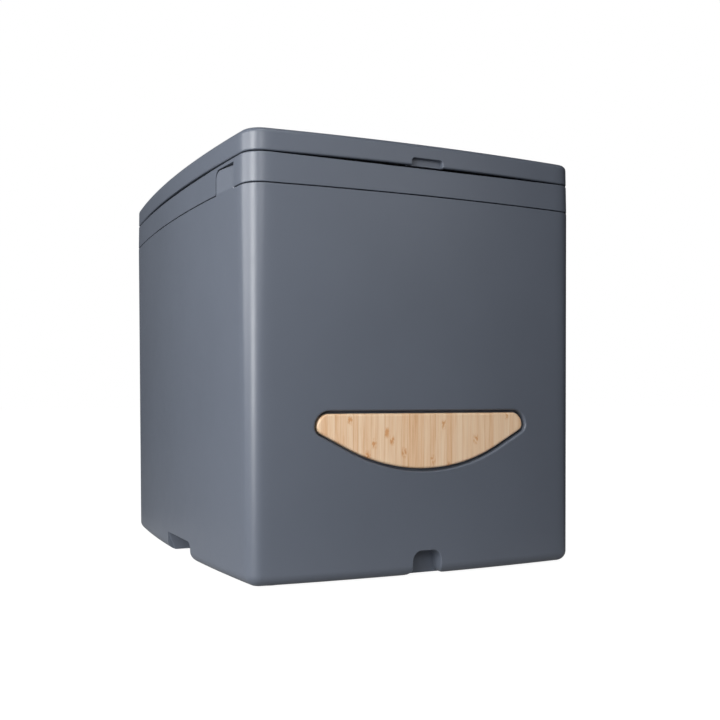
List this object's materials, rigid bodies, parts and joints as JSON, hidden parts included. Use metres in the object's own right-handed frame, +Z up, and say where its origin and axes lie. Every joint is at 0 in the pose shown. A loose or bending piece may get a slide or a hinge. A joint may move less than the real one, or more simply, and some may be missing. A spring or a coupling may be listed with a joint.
{
  "type": "portable dry flush toilet",
  "caption": "Portable waterless toilet: crowned box body with a smile-shaped bamboo plate, swing-up seat housing and lid, and a film liner twisted shut by a motor-driven bin.",
  "frame": {"origin": "centre of the bounding box at floor level, under the rubber feet", "axes": "+Z up, front with the bamboo plate towards -Y, hinges at the rear towards +Y, +X to the right seen from the front"},
  "size_m": [0.384, 0.434, 0.413],
  "materials": {
    "body_plastic": "fine satin moulded plastic",
    "dark_plastic": "matte black moulded plastic",
    "nylon": "natural white nylon",
    "bamboo": "oiled bamboo, grain upright",
    "rubber": "matte black rubber",
    "steel": "zinc-plated steel",
    "film": "thin barrier film",
    "board": "solder-masked circuit board"
  },
  "bodies": {
    "body": {"body_shell": "body_plastic", "bamboo_panel": "bamboo", "panel_screws": "steel", "base_pan": "dark_plastic", "rubber_feet": "rubber", "pan_screws": "steel", "spindle": "steel", "spindle_clip": "steel", "glide_ring": "nylon", "gearbox": "dark_plastic", "drive_motor": "steel", "gearbox_screws": "steel", "battery_pack": "dark_plastic", "battery_strap": "dark_plastic", "control_box": "dark_plastic", "circuit_board": "board", "control_cover": "dark_plastic", "fan_frame": "dark_plastic", "carbon_filter": "rubber", "fan_screws": "steel", "rear_grille": "dark_plastic", "power_inlet": "dark_plastic", "wiring_loom": "rubber", "housing_hinge_lower": "steel", "housing_hinge_pins": "steel", "body_hinge_screws": "steel", "catch_magnets": "steel", "contact_block": "dark_plastic"},
    "turntable_group": {"turntable": "nylon", "ring_gear": "nylon", "turntable_bush": "steel", "waste_bin": "dark_plastic"},
    "pinion_group": {"drive_pinion": "nylon", "output_shaft": "steel"},
    "rotor": {"fan_rotor": "dark_plastic"},
    "seat_housing_group": {"seat_housing": "body_plastic", "seat_ring": "body_plastic", "seat_screws": "steel", "housing_seal": "rubber", "housing_hinge_upper": "steel", "lid_hinge_lower": "steel", "lid_hinge_pins": "steel", "housing_hinge_screws": "steel", "catch_plates": "steel", "contact_pads": "dark_plastic", "liner_cassette": "nylon", "liner_film": "film", "bowl_chute": "body_plastic", "button_bezel": "dark_plastic", "button_spring": "steel", "button_switch": "dark_plastic"},
    "button": {"flush_button": "nylon"},
    "lid": {"lid_shell": "body_plastic", "lid_panel": "body_plastic", "lid_seal": "rubber", "lid_bumpers": "rubber", "lid_hinge_upper": "steel", "lid_screws": "steel"}
  },
  "joints": [
    {"name": "housing_hinge", "type": "hinge", "parent": "body", "child": "seat_housing_group", "pos_m": [0, 0.2134, 0.3607], "axis": [-1, 0, 0], "range_deg": [0, 75]},
    {"name": "lid_hinge", "type": "hinge", "parent": "seat_housing_group", "child": "lid", "pos_m": [0, 0.2134, 0.3892], "axis": [-1, 0, 0], "range_deg": [0, 100]},
    {"name": "turntable_spin", "type": "hinge", "parent": "body", "child": "turntable_group", "pos_m": [0, -0.022, 0.0413], "axis": [0, 0, 1], "continuous": true},
    {"name": "pinion_spin", "type": "hinge", "parent": "body", "child": "pinion_group", "pos_m": [0, 0.122, 0.0373], "axis": [0, 0, 1], "continuous": true},
    {"name": "fan_spin", "type": "hinge", "parent": "body", "child": "rotor", "pos_m": [0, 0.20827, 0.296], "axis": [0, -0.9998, 0.019], "continuous": true},
    {"name": "flush_button_press", "type": "slide", "parent": "seat_housing_group", "child": "button", "axis": [0, 0, -1], "range_m": [0, 0.003], "stiffness_N_per_m": 400, "springref_m": -0.001, "deforming": ["button_spring"]}
  ],
  "couplings": [
    {"joint": "pinion_spin", "follows": "turntable_spin", "ratio": -7}
  ]
}
